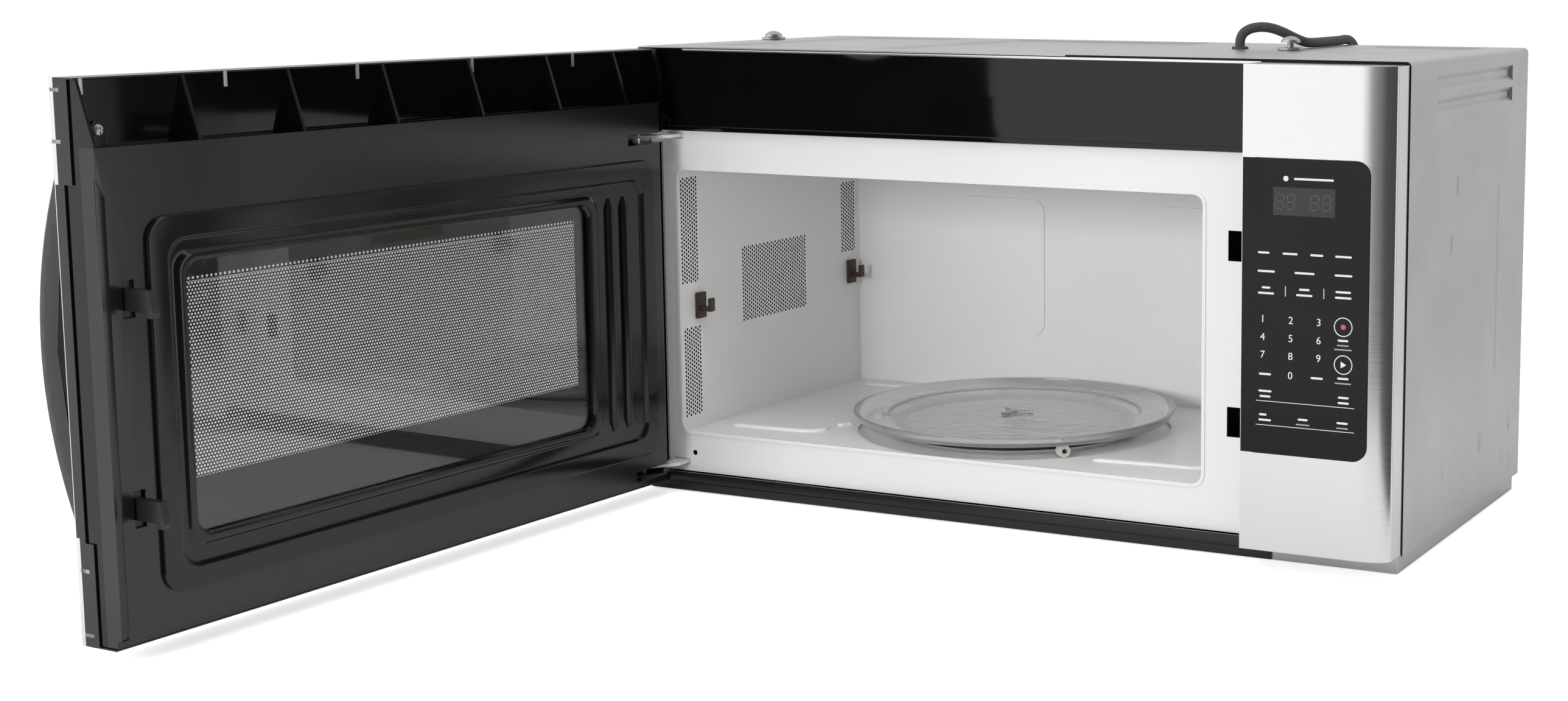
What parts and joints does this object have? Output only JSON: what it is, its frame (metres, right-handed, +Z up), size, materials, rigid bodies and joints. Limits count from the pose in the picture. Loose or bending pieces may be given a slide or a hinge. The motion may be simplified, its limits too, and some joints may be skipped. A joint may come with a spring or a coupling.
{
  "type": "over the range microwave",
  "caption": "Wide cabinet microwave oven that hangs over a cooktop, with a side hinged door standing open, a glass turntable, a touch control panel and a vent blower.",
  "frame": {"origin": "on the underside of the base pan, midway across the cabinet, under the face of the oven's front frame", "axes": "+Z up, +Y back to the wall, +X to the control panel side"},
  "size_m": [0.8183, 1.0398, 0.4456],
  "materials": {
    "galvanised_sheet": "bright galvanised sheet steel, softly reflecting",
    "chassis_steel": "darker plated sheet steel",
    "white_enamel": "smooth pale enamel, satin to gloss",
    "gloss_black": "deep gloss black",
    "satin_black": "satin moulded charcoal black",
    "trim_grey": "satin grey painted strip",
    "hook_brown": "dark brown heat resistant plastic",
    "mica": "pressed mica sheet",
    "clear_glass": "clear tempered glass",
    "smoked_glass": "black backed glass",
    "white_plastic": "moulded white plastic",
    "winding_iron": "laminated iron and varnished windings",
    "brushed_stainless": "stainless steel, brushed lengthwise",
    "circuit_board": "green printed circuit board",
    "aluminium_parts": "plain aluminium",
    "carbon_pad": "activated carbon pad in a frame",
    "cord_rubber": "dark grey cord jacket"
  },
  "bodies": {
    "root": {"outer_wrap": "galvanised_sheet", "back_panel": "chassis_steel", "base_pan": "galvanised_sheet", "chassis_plate": "chassis_steel", "front_frame": "white_enamel", "top_fascia": "gloss_black", "bottom_trim": "trim_grey", "oven_cavity": "white_enamel", "rack_hook_front_left": "hook_brown", "rack_hook_front_right": "hook_brown", "rack_hook_rear_left": "hook_brown", "rack_hook_rear_right": "hook_brown", "waveguide_cover": "mica", "turntable_motor": "winding_iron", "control_panel": "brushed_stainless", "touch_panel": "gloss_black", "display_window": "smoked_glass", "control_board": "circuit_board", "interlock_bracket": "white_plastic", "high_voltage_transformer": "winding_iron", "high_voltage_capacitor": "aluminium_parts", "waveguide": "galvanised_sheet", "magnetron": "aluminium_parts", "cooling_fan_housing": "satin_black", "cavity_lamp": "white_plastic", "blower_housing_left": "galvanised_sheet", "blower_housing_right": "galvanised_sheet", "blower_motor": "winding_iron", "charcoal_filter": "carbon_pad", "cooktop_lamp_lens_left": "clear_glass", "cooktop_lamp_lens_right": "clear_glass", "hinge_plate_lower": "white_enamel", "hinge_plate_upper": "white_enamel", "top_screw_left": "galvanised_sheet", "top_screw_right": "galvanised_sheet", "power_cord": "cord_rubber", "cord_gland": "cord_rubber", "power_plug": "cord_rubber"},
    "door": {"door_skin": "brushed_stainless", "door_frame": "satin_black", "choke_cover": "satin_black", "inner_window": "clear_glass", "screen_panel": "chassis_steel", "outer_glass": "smoked_glass", "door_handle": "satin_black"},
    "latch": {"door_latch": "white_plastic"},
    "turntable": {"turntable_tray": "clear_glass", "drive_coupler": "white_plastic"},
    "roller_ring": {"roller_ring": "satin_black"},
    "wheel_1": {"roller_wheel_1": "satin_black"},
    "wheel_2": {"roller_wheel_2": "satin_black"},
    "wheel_3": {"roller_wheel_3": "satin_black"},
    "blower_rotor": {"blower_wheel_left": "white_plastic", "blower_wheel_right": "white_plastic", "blower_shaft": "chassis_steel"},
    "cooling_fan": {"cooling_fan_wheel": "white_plastic"},
    "plunger_lower": {"interlock_plunger_lower": "hook_brown"},
    "plunger_upper": {"interlock_plunger_upper": "hook_brown"},
    "filter_left": {"grease_filter_left": "aluminium_parts"},
    "filter_right": {"grease_filter_right": "aluminium_parts"}
  },
  "joints": [
    {"name": "door_hinge", "type": "hinge", "parent": "root", "child": "door", "pos_m": [-0.364, -0.034, 0.2], "axis": [0, 0, -1], "range_deg": [-92, 8]},
    {"name": "latch_lift", "type": "slide", "parent": "door", "child": "latch", "axis": [0, 0, 1], "range_m": [0, 0.004], "stiffness_N_per_m": 400, "springref_m": -0.008},
    {"name": "turntable_spin", "type": "hinge", "parent": "root", "child": "turntable", "pos_m": [-0.073, 0.1683, 0.06], "axis": [0, 0, 1], "continuous": true},
    {"name": "ring_spin", "type": "hinge", "parent": "root", "child": "roller_ring", "pos_m": [-0.073, 0.1683, 0.0563], "axis": [0, 0, 1], "continuous": true},
    {"name": "wheel_1_spin", "type": "hinge", "parent": "roller_ring", "child": "wheel_1", "pos_m": [0.02582, 0.07486, 0.0563], "axis": [0.7266, -0.6871, 0], "continuous": true},
    {"name": "wheel_2_spin", "type": "hinge", "parent": "roller_ring", "child": "wheel_2", "pos_m": [-0.04148, 0.30059, 0.0563], "axis": [0.2317, 0.9728, 0], "continuous": true},
    {"name": "wheel_3_spin", "type": "hinge", "parent": "roller_ring", "child": "wheel_3", "pos_m": [-0.20333, 0.12945, 0.0563], "axis": [-0.9583, -0.2857, 0], "continuous": true},
    {"name": "blower_spin", "type": "hinge", "parent": "root", "child": "blower_rotor", "pos_m": [0, 0.262, 0.3616], "axis": [1, 0, 0], "continuous": true},
    {"name": "fan_spin", "type": "hinge", "parent": "root", "child": "cooling_fan", "pos_m": [0.286, 0.315, 0.19], "axis": [0, 1, 0], "continuous": true},
    {"name": "plunger_lower_press", "type": "slide", "parent": "root", "child": "plunger_lower", "axis": [0, 1, 0], "range_m": [0, 0.002], "stiffness_N_per_m": 200, "springref_m": -0.004},
    {"name": "plunger_upper_press", "type": "slide", "parent": "root", "child": "plunger_upper", "axis": [0, 1, 0], "range_m": [0, 0.002], "stiffness_N_per_m": 200, "springref_m": -0.004},
    {"name": "filter_left_slide", "type": "slide", "parent": "root", "child": "filter_left", "axis": [0, 1, 0], "range_m": [0, 0.008]},
    {"name": "filter_right_slide", "type": "slide", "parent": "root", "child": "filter_right", "axis": [0, 1, 0], "range_m": [0, 0.008]}
  ],
  "couplings": [
    {"joint": "ring_spin", "follows": "turntable_spin", "ratio": 0.5},
    {"joint": "wheel_1_spin", "follows": "turntable_spin", "ratio": -11.333},
    {"joint": "wheel_2_spin", "follows": "turntable_spin", "ratio": -11.333},
    {"joint": "wheel_3_spin", "follows": "turntable_spin", "ratio": -11.333}
  ]
}
